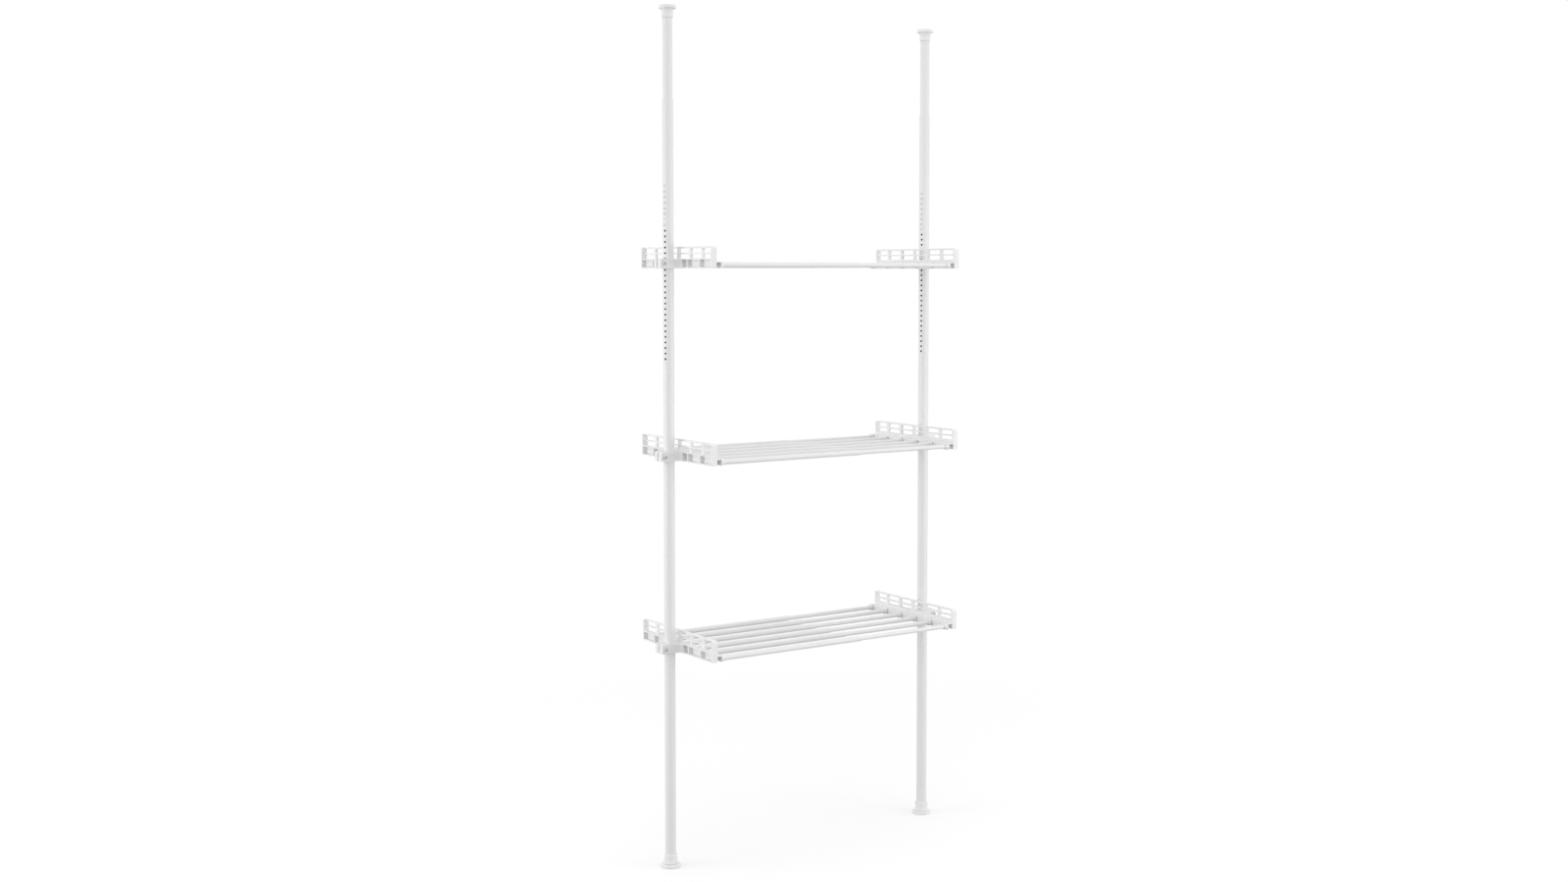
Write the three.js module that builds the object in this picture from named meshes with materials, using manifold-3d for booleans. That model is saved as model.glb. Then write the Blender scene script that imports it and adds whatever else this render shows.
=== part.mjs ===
// Tension pole shelf unit: two floor-to-ceiling poles carry three shelves of telescoping tubes.
// Millimetres. +X to the right, -Y to the front, +Z up. Origin on the floor, midway between the poles.

import * as THREE from "three";
import { mergeVertices } from "three/addons/utils/BufferGeometryUtils.js";
import Module from "manifold-3d";

const wasm = await Module();
wasm.setup();

// Whole unit
const ceilingHeight = 2500;
const poleSpacing = 935;
const bottomShelfHeight = 636;
const middleShelfHeight = 1196;
const topShelfHeight = 1752;

// Clearances shared by pieces that fit together
const seatGap = 0.3;
const telescopeGap = 0.5;
const cutOverrun = 2;

// Lower pole tubes, with the row of height holes
const poleRadius = 16;
const poleWall = 1.2;
const poleTopChamfer = 0.8;
const holeRadius = 3;
const holePitch = 16;
const holeCount = 32;
const topHoleDrop = 247;
const holeBearing = THREE.MathUtils.degToRad(203);

// Upper pole tubes, which slide in the lower ones and lock with a snap clip
const upperWall = 1.2;
const upperShowLength = 231.4;
const lockHolesDown = 6;
const upperTailLength = 23;
const upperRadius = poleRadius - poleWall - telescopeGap;
const upperBore = upperRadius - upperWall;

// Snap clips: a folded spring strip with a button
const clipThickness = 0.8;
const clipWidth = 6;
const clipArmRise = 8;
const clipArmDrop = 8;
const clipFold = 11;
const clipSideGap = 0.8;
const buttonTravel = 1.8;
const buttonInset = 0.1;

// Ceiling caps
const capFlangeRadius = 25;
const capFlangeHeight = 10;
const capCollarLength = 24.6;
const capCollarWall = 1.9;
const capCollarTaper = 0.6;
const capRimChamfer = 1.5;
const capCrown = 12.7;

// Feet: a flanged pad with a threaded stem
const footRadius = 29;
const footHeight = 8.5;
const footChamfer = 1.5;
const stemRadius = 6;
const stemLength = 55;

// Foot adjusters: a turning cup between the foot and the pole
const adjusterHeight = 28;
const adjusterWall = 2.85;
const adjusterFloor = 5;
const adjusterChamfer = 1;

// Shelf tubes: outer tubes on the left frame, inner tubes on the right frame
const tubeCount = 6;
const tubeRadius = 8;
const tubeWall = 1;
const tubeOverlap = 155.6;
const innerTubeRadius = tubeRadius - tubeWall - telescopeGap;

// End frames: panel, fence openings and band pockets
const shelfDepth = 400;
const panelHeight = 62;
const panelDepth = 17;
const panelStandOff = 7;
const panelCorner = 8;
const fenceDepth = 8;
const endWall = 6;
const topBarHeight = 5;
const middleBarHeight = 4;
const bandHeight = 27.5;
const bandEdge = 3;
const bandWeb = 5;
const columnCount = 6;
const postWidth = 10;
const pocketRib = 4;

// End frames: the tube rail on the inner side
const railHollow = 14;
const railWall = 4;
const railLedge = 3;
const railRib = 3;
const collarWall = 1.2;
const collarLength = 13;
const collarFloor = 2;
const spigotLength = 20;

// End frames: the pole clamp on the outer side
const clampWall = 4.5;
const clampEarLength = 21;
const clampEarCorner = 4;
const clampSlot = 5;
const clampFlareLength = 17;
const clampFlareWidth = 17;
const boltSetback = 10.7;
const boltSeatRadius = 6;
const boltSeatHeight = 3;

// Clamp bolts and the pockets for their nuts
const boltRadius = 3;
const boltHeadRadius = 5;
const boltHeadLength = 6;
const socketRadius = 2.9;
const socketDepth = 3;
const nutRadius = 5.5;
const nutPocketDepth = 5.5;

// Facets of the round pieces
const poleSides = 20;
const tubeSides = 12;
const smallSides = 8;
const nutSides = 6;
const cornerSteps = 2;

// Sizes that the pieces share
const clampBore = poleRadius + seatGap;
const clampHalfWidth = clampBore + clampWall;
const seatFront = clampHalfWidth + boltSeatHeight;
const panelOuter = poleRadius + panelStandOff;
const panelInner = panelOuter + panelDepth;
const collarStart = panelInner + railHollow;
const collarEnd = collarStart + collarLength;
const collarRadius = tubeRadius + seatGap + collarWall;
const socketFloor = collarStart + collarFloor;
const tubeStart = socketFloor + seatGap;
const tubeEnd = (poleSpacing + tubeOverlap) / 2;
const tubeReach = shelfDepth / 2 - collarRadius;
const tubePitch = (2 * tubeReach) / (tubeCount - 1);
const boltX = -(clampBore + boltSetback);
const boltHeight = bandHeight / 2;
const adjusterLow = footHeight + seatGap;
const poleLowHeight = adjusterLow + adjusterFloor + seatGap;
const capLowHeight = ceilingHeight - capFlangeHeight - capCollarLength;
const upperTopHeight = ceilingHeight - capCrown - seatGap;
const poleTopHeight = capLowHeight - upperShowLength;
const topHoleHeight = poleTopHeight - topHoleDrop;
const lockHeight = topHoleHeight - lockHolesDown * holePitch;
const upperLowHeight = lockHeight - upperTailLength;

// Materials
const paintedSteel = { color: 0xe6e6e6, roughness: 0.42, metalness: 0 };
const whitePlastic = { color: 0xf1f1f0, roughness: 0.5, metalness: 0 };
const zincSteel = { color: 0xc9cbcc, roughness: 0.35, metalness: 0.9 };

// A closed geometry as a solid that can be joined and cut
function solid(geometry) {
  const bare = geometry.clone();
  bare.deleteAttribute("normal");
  bare.deleteAttribute("uv");
  const merged = mergeVertices(bare);
  const vertProperties = merged.attributes.position.array;
  const triVerts = new Uint32Array(merged.index.array);
  return new wasm.Manifold(new wasm.Mesh({ numProp: 3, vertProperties, triVerts }));
}

// A solid as a flat-shaded geometry
function geometryOf(body) {
  const mesh = body.getMesh();
  const indexed = new THREE.BufferGeometry();
  indexed.setAttribute("position", new THREE.BufferAttribute(new Float32Array(mesh.vertProperties), 3));
  indexed.setIndex(new THREE.BufferAttribute(new Uint32Array(mesh.triVerts), 1));
  const flat = indexed.toNonIndexed();
  flat.computeVertexNormals();
  return flat;
}

// A block between two corners
function block(x0, x1, y0, y1, z0, z1) {
  const box = new THREE.BoxGeometry(x1 - x0, y1 - y0, z1 - z0);
  return box.translate((x0 + x1) / 2, (y0 + y1) / 2, (z0 + z1) / 2);
}

// A piece turned about Z, from a profile of [radius, height] points
function turned(profile, sides) {
  const points = profile.map(([radius, height]) => new THREE.Vector2(radius, height));
  return new THREE.LatheGeometry(points, sides).rotateX(Math.PI / 2);
}

// A plain tube about Z
function tube(outer, inner, low, high, sides) {
  const profile = [
    [inner, low],
    [outer, low],
    [outer, high],
    [inner, high],
    [inner, low],
  ];
  return turned(profile, sides);
}

// A plain rod about Z
function rod(radius, low, high, sides) {
  const profile = [
    [0, low],
    [radius, low],
    [radius, high],
    [0, high],
  ];
  return turned(profile, sides);
}

// A flat outline drawn in Y and Z, given its thickness along X
function upright(shape, x0, x1, curveSegments) {
  const plate = new THREE.ExtrudeGeometry(shape, { depth: x1 - x0, bevelEnabled: false, curveSegments });
  const turn = new THREE.Matrix4().makeBasis(
    new THREE.Vector3(0, 1, 0),
    new THREE.Vector3(0, 0, 1),
    new THREE.Vector3(1, 0, 0),
  );
  return plate.applyMatrix4(turn).translate(x0, 0, 0);
}

// A named mesh of one finish
function piece(name, geometry, finish) {
  const mesh = new THREE.Mesh(geometry, new THREE.MeshStandardMaterial(finish));
  mesh.name = name;
  return mesh;
}

// Lower pole: a long steel tube with a chamfered mouth and one row of holes
function lowerPole() {
  const bore = poleRadius - poleWall;
  const profile = [
    [bore, poleLowHeight],
    [poleRadius, poleLowHeight],
    [poleRadius, poleTopHeight - poleTopChamfer],
    [poleRadius - poleTopChamfer, poleTopHeight],
    [bore, poleTopHeight],
    [bore, poleLowHeight],
  ];
  let body = solid(turned(profile, poleSides).rotateZ(holeBearing + Math.PI / 2));
  for (let hole = 0; hole < holeCount; hole += 1) {
    const punch = rod(holeRadius, upperBore, poleRadius + cutOverrun, smallSides);
    punch.rotateY(Math.PI / 2).rotateZ(holeBearing);
    punch.translate(0, 0, topHoleHeight - hole * holePitch);
    body = body.subtract(solid(punch));
  }
  return geometryOf(body);
}

// Upper pole: the thinner tube, with one hole for the snap button
function upperPole() {
  const body = solid(tube(upperRadius, upperBore, upperLowHeight, upperTopHeight, poleSides));
  const punch = rod(holeRadius, upperBore - cutOverrun, upperRadius + cutOverrun, smallSides);
  punch.rotateY(Math.PI / 2).rotateZ(holeBearing);
  punch.translate(0, 0, lockHeight);
  return geometryOf(body.subtract(solid(punch)));
}

// Snap clip: a folded strip inside the upper pole, its button in the hole, held pressed in at rest
function snapClip() {
  const buttonSide = upperBore - clipSideGap - buttonTravel;
  const backSide = upperBore - clipSideGap;
  const outline = new THREE.Shape();
  outline.moveTo(buttonSide, clipArmRise);
  outline.lineTo(buttonSide - clipThickness, clipArmRise);
  outline.lineTo(buttonSide - clipThickness, -clipArmDrop);
  outline.lineTo(0, -clipArmDrop - clipFold + clipThickness);
  outline.lineTo(-backSide + clipThickness, -clipArmDrop);
  outline.lineTo(-backSide + clipThickness, clipArmRise);
  outline.lineTo(-backSide, clipArmRise);
  outline.lineTo(-backSide, -clipArmDrop);
  outline.lineTo(0, -clipArmDrop - clipFold);
  outline.lineTo(buttonSide, -clipArmDrop);
  outline.closePath();
  const strip = new THREE.ExtrudeGeometry(outline, { depth: clipWidth, bevelEnabled: false });
  strip.translate(0, 0, -clipWidth / 2).rotateX(Math.PI / 2);
  const button = rod(holeRadius - seatGap, buttonSide - clipThickness, upperRadius - buttonInset, smallSides);
  button.rotateY(Math.PI / 2);
  const body = solid(strip).add(solid(button));
  return geometryOf(body).rotateZ(holeBearing).translate(0, 0, lockHeight);
}

// Ceiling cap: a flanged cup over the end of the upper pole
function ceilingCap() {
  const bore = upperRadius + seatGap;
  const collar = bore + capCollarWall;
  const flangeLow = ceilingHeight - capFlangeHeight;
  const profile = [
    [0, upperTopHeight + seatGap],
    [bore, upperTopHeight + seatGap],
    [bore, capLowHeight],
    [collar, capLowHeight],
    [collar + capCollarTaper, flangeLow],
    [capFlangeRadius - capRimChamfer, flangeLow],
    [capFlangeRadius, flangeLow + capRimChamfer],
    [capFlangeRadius, ceilingHeight - capRimChamfer],
    [capFlangeRadius - capRimChamfer, ceilingHeight],
    [0, ceilingHeight],
  ];
  return turned(profile, poleSides);
}

// Foot: a flanged pad with the stem that the adjuster climbs
function foot() {
  const profile = [
    [0, 0],
    [footRadius, 0],
    [footRadius, footHeight - footChamfer],
    [footRadius - footChamfer, footHeight],
    [stemRadius, footHeight],
    [stemRadius, footHeight + stemLength],
    [0, footHeight + stemLength],
  ];
  return turned(profile, poleSides);
}

// Foot adjuster: a cup that turns on the stem and lifts the pole
function footAdjuster() {
  const bore = poleRadius + seatGap;
  const outer = bore + adjusterWall;
  const rim = footHeight + adjusterHeight;
  const profile = [
    [stemRadius + seatGap, adjusterLow],
    [outer, adjusterLow],
    [outer, rim - adjusterChamfer],
    [outer - adjusterChamfer, rim],
    [bore, rim],
    [bore, adjusterLow + adjusterFloor],
    [stemRadius + seatGap, adjusterLow + adjusterFloor],
    [stemRadius + seatGap, adjusterLow],
  ];
  return turned(profile, poleSides);
}

// Panel: a tray with a rounded top, two rows of fence openings and a row of outer pockets
function panel() {
  const half = shelfDepth / 2;
  const outline = new THREE.Shape();
  outline.moveTo(-half, 0);
  outline.lineTo(half, 0);
  outline.lineTo(half, panelHeight - panelCorner);
  outline.absarc(half - panelCorner, panelHeight - panelCorner, panelCorner, 0, Math.PI / 2);
  outline.lineTo(-half + panelCorner, panelHeight);
  outline.absarc(-half + panelCorner, panelHeight - panelCorner, panelCorner, Math.PI / 2, Math.PI);
  outline.closePath();
  let body = solid(upright(outline, panelOuter, panelInner, cornerSteps));

  const fenceOuter = panelInner - fenceDepth;
  const recess = block(
    panelOuter - cutOverrun, fenceOuter,
    -half + endWall, half - endWall,
    bandHeight, panelHeight + cutOverrun,
  );
  body = body.subtract(solid(recess));

  const columnWidth = (shelfDepth - 2 * endWall - (columnCount - 1) * postWidth) / columnCount;
  const rowHeight = (panelHeight - bandHeight - topBarHeight - middleBarHeight) / 2;
  for (let column = 0; column < columnCount; column += 1) {
    const y0 = -half + endWall + column * (columnWidth + postWidth);
    const y1 = y0 + columnWidth;
    for (let row = 0; row < 2; row += 1) {
      const z0 = bandHeight + row * (rowHeight + middleBarHeight);
      const opening = block(fenceOuter - cutOverrun, panelInner + cutOverrun, y0, y1, z0, z0 + rowHeight);
      body = body.subtract(solid(opening));
    }
    const ribLap = (postWidth - pocketRib) / 2;
    const pocket0 = column === 0 ? y0 : y0 - ribLap;
    const pocket1 = column === columnCount - 1 ? y1 : y1 + ribLap;
    const pocket = block(
      panelOuter - cutOverrun, panelInner - bandWeb,
      pocket0, pocket1,
      bandEdge, bandHeight - bandEdge,
    );
    body = body.subtract(solid(pocket));
  }
  return body;
}

// Rail: a ledge and a wall along the foot of the panel, ribbed between the tubes
function rail() {
  const half = shelfDepth / 2;
  const top = 2 * collarRadius;
  const ledge = block(panelInner - bandWeb / 2, collarStart + railWall, -half, half, top - railLedge, top);
  const wall = block(collarStart, collarStart + railWall, -half, half, 0, top);
  let body = solid(ledge).add(solid(wall));
  for (let gap = 0; gap < tubeCount - 1; gap += 1) {
    const y = -tubeReach + (gap + 1 / 2) * tubePitch;
    const rib = block(
      panelInner - bandWeb / 2, collarStart + railWall / 2,
      y - railRib / 2, y + railRib / 2,
      0, top - railLedge / 2,
    );
    body = body.add(solid(rib));
  }
  return body;
}

// Clamp: a split ring round the pole, its ears outwards, flared into the panel, with a seat for the bolt
function clampBody() {
  const earEnd = -(clampBore + clampEarLength);
  const flareStart = panelOuter - clampFlareLength;
  const flareHalf = clampHalfWidth + clampFlareWidth;
  const inside = panelInner - bandWeb / 2;
  const outline = new THREE.Shape();
  outline.moveTo(earEnd + clampEarCorner, -clampHalfWidth);
  outline.lineTo(flareStart, -clampHalfWidth);
  outline.quadraticCurveTo(panelOuter, -clampHalfWidth, panelOuter, -flareHalf);
  outline.lineTo(inside, -flareHalf);
  outline.lineTo(inside, flareHalf);
  outline.lineTo(panelOuter, flareHalf);
  outline.quadraticCurveTo(panelOuter, clampHalfWidth, flareStart, clampHalfWidth);
  outline.lineTo(earEnd + clampEarCorner, clampHalfWidth);
  outline.quadraticCurveTo(earEnd, clampHalfWidth, earEnd, clampHalfWidth - clampEarCorner);
  outline.lineTo(earEnd, -clampHalfWidth + clampEarCorner);
  outline.quadraticCurveTo(earEnd, -clampHalfWidth, earEnd + clampEarCorner, -clampHalfWidth);
  const plate = { depth: bandHeight, bevelEnabled: false, curveSegments: cornerSteps };
  const seat = rod(boltSeatRadius, clampHalfWidth - clampWall, seatFront, tubeSides);
  seat.rotateX(Math.PI / 2).translate(boltX, 0, boltHeight);
  return solid(new THREE.ExtrudeGeometry(outline, plate)).add(solid(seat));
}

// What is cut from the clamp: the pole bore, the slot, the bolt hole and the nut pocket
function clampCuts() {
  const low = -cutOverrun;
  const high = bandHeight + cutOverrun;
  const side = seatFront + cutOverrun;
  const slot = block(
    -(clampBore + clampEarLength + cutOverrun), 0,
    -clampSlot / 2, clampSlot / 2,
    low, high,
  );
  const boltHole = rod(boltRadius + seatGap, -side, side, smallSides);
  boltHole.rotateX(-Math.PI / 2).translate(boltX, 0, boltHeight);
  const nutPocket = rod(nutRadius + seatGap, clampHalfWidth - nutPocketDepth, side, nutSides);
  nutPocket.rotateX(-Math.PI / 2).translate(boltX, 0, boltHeight);
  const bore = solid(rod(clampBore, low, high, poleSides));
  return bore.add(solid(slot)).add(solid(boltHole)).add(solid(nutPocket));
}

// End frame for tubes of one radius: panel, rail, clamp, and a collar and spigot for each tube
function endFrame(heldRadius) {
  let body = panel().add(rail()).add(clampBody()).subtract(clampCuts());
  const spigotRadius = heldRadius - tubeWall - seatGap;
  const spigotBack = socketFloor - collarFloor / 2;
  const spigotFront = socketFloor + spigotLength;
  for (let index = 0; index < tubeCount; index += 1) {
    const y = -tubeReach + index * tubePitch;
    const place = (geometry) => solid(geometry.rotateY(Math.PI / 2).translate(0, y, collarRadius));
    const collar = place(rod(collarRadius, collarStart, collarEnd, tubeSides));
    const socket = place(rod(heldRadius + seatGap, socketFloor, collarEnd + cutOverrun, tubeSides));
    const spigot = place(rod(spigotRadius, spigotBack, spigotFront, nutSides));
    body = body.add(collar).subtract(socket).add(spigot);
  }
  return geometryOf(body);
}

// Clamp bolt: a socket-head bolt along Y, its head to the front
function clampBolt() {
  const headBack = seatFront + seatGap;
  const headFront = headBack + boltHeadLength;
  const head = rod(boltHeadRadius, headBack, headFront, tubeSides);
  const shank = rod(boltRadius, -clampHalfWidth + seatGap, headBack + boltHeadLength / 2, smallSides);
  const hexSocket = rod(socketRadius, headFront - socketDepth, headFront + cutOverrun, nutSides);
  const body = solid(head).add(solid(shank)).subtract(solid(hexSocket));
  return geometryOf(body).rotateX(Math.PI / 2).translate(boltX, 0, boltHeight);
}

// One shelf: left frame with outer tubes, right frame with inner tubes, and two clamp bolts
function shelf(name, height, frames) {
  const group = new THREE.Group();
  group.position.z = height;
  const leftEnd = new THREE.Group();
  leftEnd.position.x = -poleSpacing / 2;
  const rightEnd = new THREE.Group();
  rightEnd.position.x = poleSpacing / 2;
  rightEnd.scale.x = -1;

  leftEnd.add(piece(name + "_left_frame", frames.left, whitePlastic));
  rightEnd.add(piece(name + "_right_frame", frames.right, whitePlastic));
  leftEnd.add(piece(name + "_left_bolt", frames.bolt, zincSteel));
  rightEnd.add(piece(name + "_right_bolt", frames.bolt, zincSteel));
  for (let index = 0; index < tubeCount; index += 1) {
    const outer = tube(tubeRadius, tubeRadius - tubeWall, tubeStart, tubeEnd, tubeSides);
    const inner = tube(innerTubeRadius, innerTubeRadius - tubeWall, tubeStart, tubeEnd, tubeSides);
    const outerTube = piece(name + "_outer_tube_" + (index + 1), outer.rotateY(Math.PI / 2), paintedSteel);
    const innerTube = piece(name + "_inner_tube_" + (index + 1), inner.rotateY(Math.PI / 2), paintedSteel);
    outerTube.position.set(0, -tubeReach + index * tubePitch, collarRadius);
    innerTube.position.copy(outerTube.position);
    leftEnd.add(outerTube);
    rightEnd.add(innerTube);
  }
  group.add(leftEnd, rightEnd);
  return group;
}

// One pole from floor to ceiling
function pole(side, x) {
  const group = new THREE.Group();
  group.position.x = x;
  group.add(piece(side + "_lower_pole", lowerPole(), paintedSteel));
  group.add(piece(side + "_upper_pole", upperPole(), paintedSteel));
  group.add(piece(side + "_snap_clip", snapClip(), zincSteel));
  group.add(piece(side + "_ceiling_cap", ceilingCap(), whitePlastic));
  group.add(piece(side + "_foot", foot(), whitePlastic));
  group.add(piece(side + "_foot_adjuster", footAdjuster(), whitePlastic));
  return group;
}

// The whole unit
const unit = new THREE.Group();
unit.add(pole("left", -poleSpacing / 2));
unit.add(pole("right", poleSpacing / 2));
const frames = { left: endFrame(tubeRadius), right: endFrame(innerTubeRadius), bolt: clampBolt() };
unit.add(shelf("bottom_shelf", bottomShelfHeight, frames));
unit.add(shelf("middle_shelf", middleShelfHeight, frames));
unit.add(shelf("top_shelf", topShelfHeight, frames));

export default unit;
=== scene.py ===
import math
import bmesh
import bpy
from mathutils import Matrix, Vector


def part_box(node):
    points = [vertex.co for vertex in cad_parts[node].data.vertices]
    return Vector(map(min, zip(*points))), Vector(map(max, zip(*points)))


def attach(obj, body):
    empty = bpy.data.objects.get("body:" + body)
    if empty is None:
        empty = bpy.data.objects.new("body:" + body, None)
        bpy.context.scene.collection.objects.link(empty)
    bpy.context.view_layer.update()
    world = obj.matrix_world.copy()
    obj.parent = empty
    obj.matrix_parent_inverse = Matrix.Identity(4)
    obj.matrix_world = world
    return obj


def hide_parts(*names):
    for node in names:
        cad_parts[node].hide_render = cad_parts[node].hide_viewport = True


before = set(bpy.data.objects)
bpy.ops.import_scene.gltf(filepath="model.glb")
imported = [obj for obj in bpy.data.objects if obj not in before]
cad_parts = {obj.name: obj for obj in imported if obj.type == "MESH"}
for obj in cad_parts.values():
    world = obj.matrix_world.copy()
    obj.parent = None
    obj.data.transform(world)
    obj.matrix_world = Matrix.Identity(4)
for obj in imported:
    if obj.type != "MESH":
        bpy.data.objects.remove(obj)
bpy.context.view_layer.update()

# Feet
# Each pole stands on a round pad with a threaded stem in its middle, one moulding in white plastic.
# The adjuster above climbs the stem, whose thread has a lead of 3 mm a turn.

MM = 0.001
FULL_TURN = 2 * math.pi
SIDES = {"left": -1, "right": 1}


def low_edge(part, axis):
    """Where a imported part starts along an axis, in millimetres."""
    return round(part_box(part)[0]["xyz".index(axis)] / MM, 2)


def high_edge(part, axis):
    """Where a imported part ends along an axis, in millimetres."""
    return round(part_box(part)[1]["xyz".index(axis)] / MM, 2)


POLE_REACH = (low_edge("right_foot", "x") + high_edge("right_foot", "x")) / 2
FOOT_RADIUS = high_edge("right_foot", "y")
FOOT_HEIGHT = 8.5
FOOT_RECESS = 0.6
FOOT_RIM = 4
FOOT_DISH_RADIUS = 20
FOOT_HEEL_ROUNDING = 0.8
FOOT_TOP_ROUNDING = 2.4
# Other round pieces take these three too: a step's rounding, a softer one, and the sides of a
# broad piece.
STEP_ROUNDING = 0.4
SOFT_ROUNDING = 0.5
BROAD_SIDES = 96
STEM_RADIUS = 6
STEM_TOP = high_edge("right_foot", "z")
STEM_LEAD = 3
THREAD_DEPTH = 0.8
# The thread rises within this part of a turn. Its flank starts and ends at these shares of the
# way from the crest to the root.
THREAD_FADE = 0.25
FLANK_START = 0.27
FLANK_END = 0.73
# How far broad flat faces rule the shading of the narrow ones beside them. 50 is neutral.
FLATS_WEIGHT = 80


def rounded_line(corners, steps=5):
    """Corner points (radius, height, rounding) as a line of points, each corner drawn as a curve."""
    line = []
    for i, (r, z, rounding) in enumerate(corners):
        if not rounding:
            line.append((r, z))
            continue
        here = Vector((r, z))
        before = Vector(corners[i - 1][:2])
        after = Vector(corners[(i + 1) % len(corners)][:2])
        start = here + (before - here).normalized() * rounding
        end = here + (after - here).normalized() * rounding
        for k in range(steps + 1):
            t = k / steps
            line.append(tuple(start * (1 - t) ** 2 + here * 2 * t * (1 - t) + end * t * t))
    return line


def turned(corners, sides=64, closed=False, steps=5):
    """A mesh turned about Z. An open line starts and ends on the axis; a closed one makes a ring."""
    bm = bmesh.new()
    rings = []
    for r, z in rounded_line(corners, steps):
        if r == 0:
            rings.append([bm.verts.new((0, 0, z))] * sides)
            continue
        angles = [FULL_TURN * k / sides for k in range(sides)]
        rings.append([bm.verts.new((r * math.cos(a), r * math.sin(a), z)) for a in angles])
    if closed:
        rings.append(rings[0])
    for low, high in zip(rings, rings[1:]):
        for k in range(sides):
            after = (k + 1) % sides
            around = dict.fromkeys((low[k], low[after], high[after], high[k]))
            if len(around) > 2:
                bm.faces.new(list(around))
    bmesh.ops.recalc_face_normals(bm, faces=bm.faces)
    return bm


def threaded(crest, depth, lead, low, high, sides=32, rows_per_turn=12):
    """A threaded rod about Z: its helix is drawn in the radius of each point and fades at the ends."""
    bm = bmesh.new()
    rows = round((high - low) / lead * rows_per_turn)
    rings = []
    for row in range(rows + 1):
        z = low + (high - low) * row / rows
        fade = min(1, min(row, rows - row) / rows_per_turn / THREAD_FADE)
        ring = []
        for k in range(sides):
            from_crest = 2 * abs((z / lead - k / sides) % 1 - 1 / 2)
            rise = min(1, max(0, (FLANK_END - from_crest) / (FLANK_END - FLANK_START)))
            r = crest - depth * (1 - rise * fade)
            angle = FULL_TURN * k / sides
            ring.append(bm.verts.new((r * math.cos(angle), r * math.sin(angle), z)))
        rings.append(ring)
    for a, b in zip(rings, rings[1:]):
        for k in range(sides):
            after = (k + 1) % sides
            bm.faces.new([a[k], a[after], b[after], b[k]])
    bm.faces.new(rings[0])
    bm.faces.new(rings[-1])
    bmesh.ops.recalc_face_normals(bm, faces=bm.faces)
    return bm


def joined(whole, part):
    """Two meshes as one."""
    spare = bpy.data.meshes.new("spare")
    part.to_mesh(spare)
    part.free()
    whole.from_mesh(spare)
    bpy.data.meshes.remove(spare)
    return whole


def finished(name, bm, *materials):
    """A mesh drawn in millimetres, in metres and shaded smooth, with its materials."""
    mesh = bpy.data.meshes.new(name)
    bmesh.ops.scale(bm, verts=bm.verts, vec=(MM, MM, MM))
    bm.to_mesh(mesh)
    bm.free()
    for material in materials:
        mesh.materials.append(material)
    mesh.shade_smooth()
    return mesh


def place(name, mesh, spot, body, slot, *nodes):
    """A piece of that mesh at a spot in millimetres, riding on its body in place of its CAD nodes."""
    piece = bpy.data.objects.new(name, mesh)
    bpy.context.scene.collection.objects.link(piece)
    piece.location = Vector(spot) * MM
    flats = piece.modifiers.new("flats", "WEIGHTED_NORMAL")
    flats.weight = FLATS_WEIGHT
    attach(piece, body)
    if nodes:
        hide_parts(*nodes)


def place_on_poles(part, mesh, body, slot, height=0):
    """A piece of that mesh on each pole's axis, in place of the CAD node that the part is named for."""
    for side, sign in SIDES.items():
        spot = (sign * POLE_REACH, 0, height)
        place(f"{side}_{part}_look", mesh, spot, f"{side}_{body}", slot, f"{side}_{part}")


def node(tree, kind, **settings):
    """A shader node with its settings: names that start with a capital are its inputs."""
    made = tree.nodes.new("ShaderNode" + kind)
    for key, value in settings.items():
        if key[0].isupper():
            made.inputs[key.replace("_", " ")].default_value = value
        else:
            setattr(made, key, value)
    return made


def surface_of(name, metallic, specular):
    """A new material: its node tree, its surface shader and the piece's own coordinates."""
    material = bpy.data.materials.new(name)
    material.use_nodes = True
    tree = material.node_tree
    surface = tree.nodes["Principled BSDF"]
    surface.inputs["Metallic"].default_value = metallic
    surface.inputs["Specular IOR Level"].default_value = specular
    return material, tree, surface, node(tree, "TexCoord").outputs["Object"]


# The noise's values lie between these two almost everywhere.
NOISE_LOW = 0.3
NOISE_HIGH = 0.7


def clouds(tree, where, scale, detail, span=(0, 1), squeeze=(1, 1, 1)):
    """A cloudy value within a span, finer with scale. A squeeze under 1 draws it out on that axis."""
    low, high = span
    drawn = node(tree, "Mapping", Scale=squeeze)
    noise = node(tree, "TexNoise", Scale=scale, Detail=detail)
    ranged = node(tree, "MapRange", From_Min=NOISE_LOW, From_Max=NOISE_HIGH, To_Min=low, To_Max=high)
    tree.links.new(where, drawn.inputs["Vector"])
    tree.links.new(drawn.outputs["Vector"], noise.inputs["Vector"])
    tree.links.new(noise.outputs["Fac"], ranged.inputs["Value"])
    return ranged.outputs["Result"]


def mixed(tree, share, first, second):
    """A colour between two by a share; each is a socket or a plain colour."""
    mix = node(tree, "Mix", data_type="RGBA")
    tree.links.new(share, mix.inputs["Factor"])
    for slot, colour in (("A", first), ("B", second)):
        if isinstance(colour, tuple):
            mix.inputs[slot].default_value = (*colour, 1)
        else:
            tree.links.new(colour, mix.inputs[slot])
    return mix.outputs["Result"]


# How well the way a point faces matches the eased way, on a flat and on an edge.
FLAT_MATCH = 0.995
EDGE_MATCH = 0.85
EDGE_SAMPLES = 6


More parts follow.
